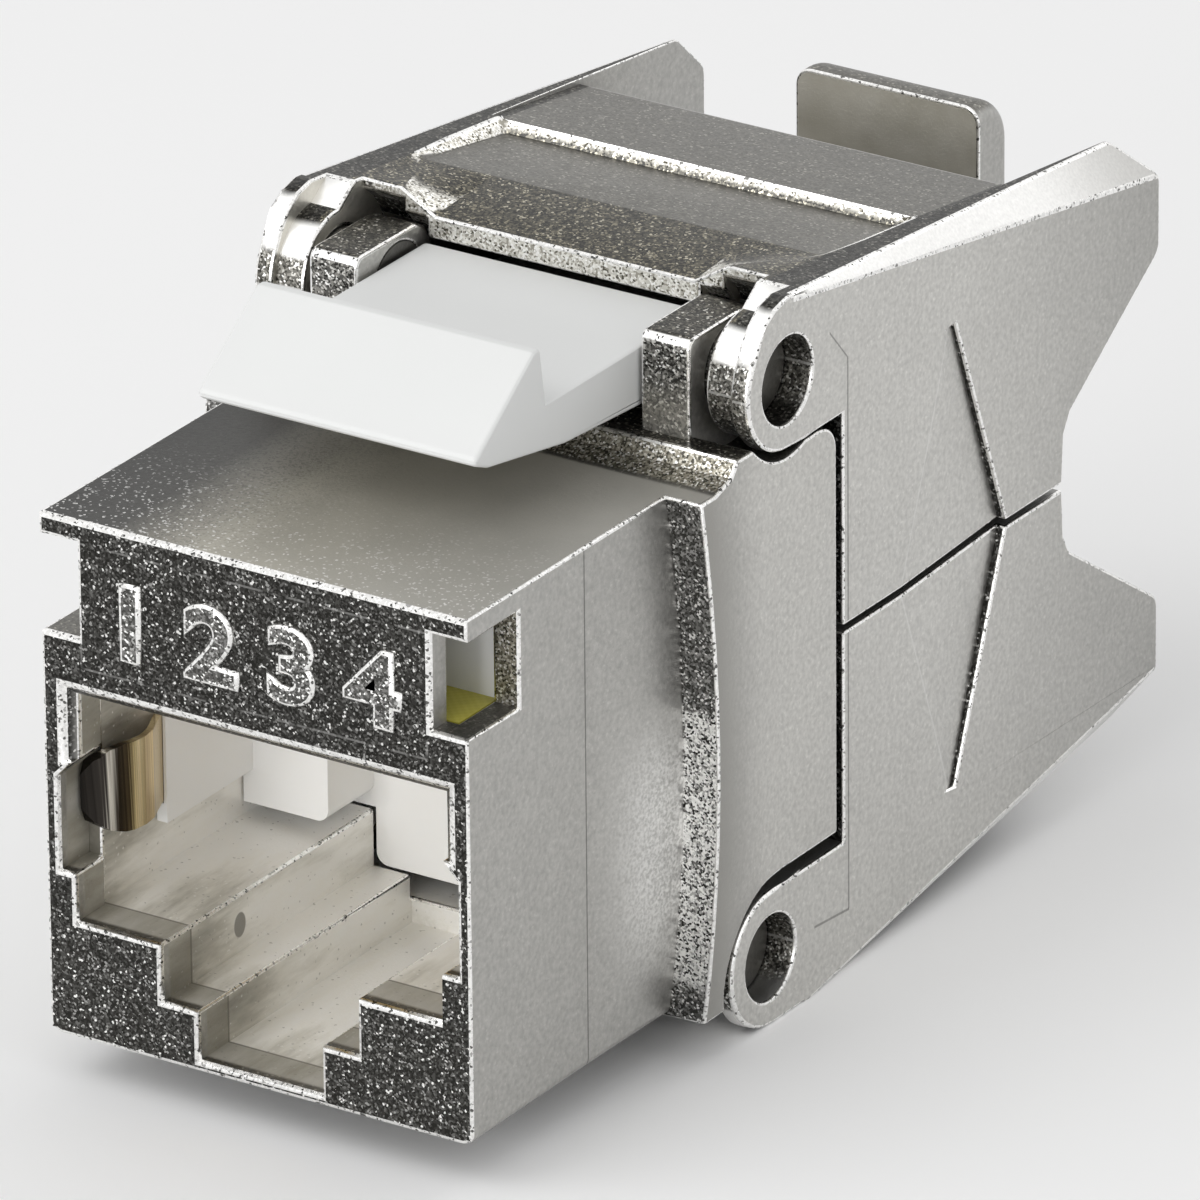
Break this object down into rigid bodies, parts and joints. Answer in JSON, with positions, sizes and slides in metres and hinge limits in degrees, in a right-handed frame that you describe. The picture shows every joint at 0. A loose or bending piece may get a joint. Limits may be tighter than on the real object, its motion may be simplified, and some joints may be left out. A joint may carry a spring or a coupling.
{
  "type": "shielded keystone jack",
  "caption": "Shielded keystone module: die-cast housing with a plug socket, a plastic panel latch and two hinged rear jaws that close round a data cable.",
  "frame": {"origin": "middle of the lower edge of the plug face, the point that the panel aperture holds", "axes": "+Y from the plug face to the cable end, +Z from the fixed catch side to the latch side, +X to the right seen from the plug face"},
  "size_m": [0.018, 0.0355, 0.0226],
  "materials": {
    "nickel_plate": "satin nickel plate on a zinc die casting, fine cast grain",
    "latch_plastic": "smooth off-white moulding",
    "insert_plastic": "white moulding",
    "manager_plastic": "white moulding",
    "board_resin": "olive glass-fibre laminate",
    "gold_contact": "gold-plated spring wire",
    "tinned_contact": "tin-plated bronze sheet",
    "spring_bronze": "dark bronze leaf spring"
  },
  "bodies": {
    "housing": {"front_housing": "nickel_plate", "upper_hinge_pin_left": "nickel_plate", "upper_hinge_pin_right": "nickel_plate", "lower_hinge_pin_left": "nickel_plate", "lower_hinge_pin_right": "nickel_plate", "contact_insert": "insert_plastic", "contact_wire_1": "gold_contact", "contact_wire_2": "gold_contact", "contact_wire_3": "gold_contact", "contact_wire_4": "gold_contact", "contact_wire_5": "gold_contact", "contact_wire_6": "gold_contact", "contact_wire_7": "gold_contact", "contact_wire_8": "gold_contact", "circuit_board": "board_resin", "idc_block": "insert_plastic", "idc_contact_1": "tinned_contact", "idc_contact_2": "tinned_contact", "idc_contact_3": "tinned_contact", "idc_contact_4": "tinned_contact", "idc_contact_5": "tinned_contact", "idc_contact_6": "tinned_contact", "idc_contact_7": "tinned_contact", "idc_contact_8": "tinned_contact", "wire_manager": "manager_plastic", "shield_spring_left": "spring_bronze", "shield_spring_right": "spring_bronze"},
    "upper_jaw": {"upper_jaw": "nickel_plate"},
    "lower_jaw": {"lower_jaw": "nickel_plate"},
    "latch": {"keystone_latch": "latch_plastic"}
  },
  "joints": [
    {"name": "upper_jaw_hinge", "type": "hinge", "parent": "housing", "child": "upper_jaw", "pos_m": [0, 0.01484, 0.01848], "axis": [1, 0, 0], "range_deg": [0, 70]},
    {"name": "lower_jaw_hinge", "type": "hinge", "parent": "housing", "child": "lower_jaw", "pos_m": [0, 0.01382, 0.00072], "axis": [1, 0, 0], "range_deg": [-70, 0]},
    {"name": "latch_pivot", "type": "hinge", "parent": "housing", "child": "latch", "pos_m": [0, 0.01484, 0.01848], "axis": [1, 0, 0], "range_deg": [0, 9], "stiffness_Nm_per_rad": 0.5, "springref_deg": -5.73}
  ]
}
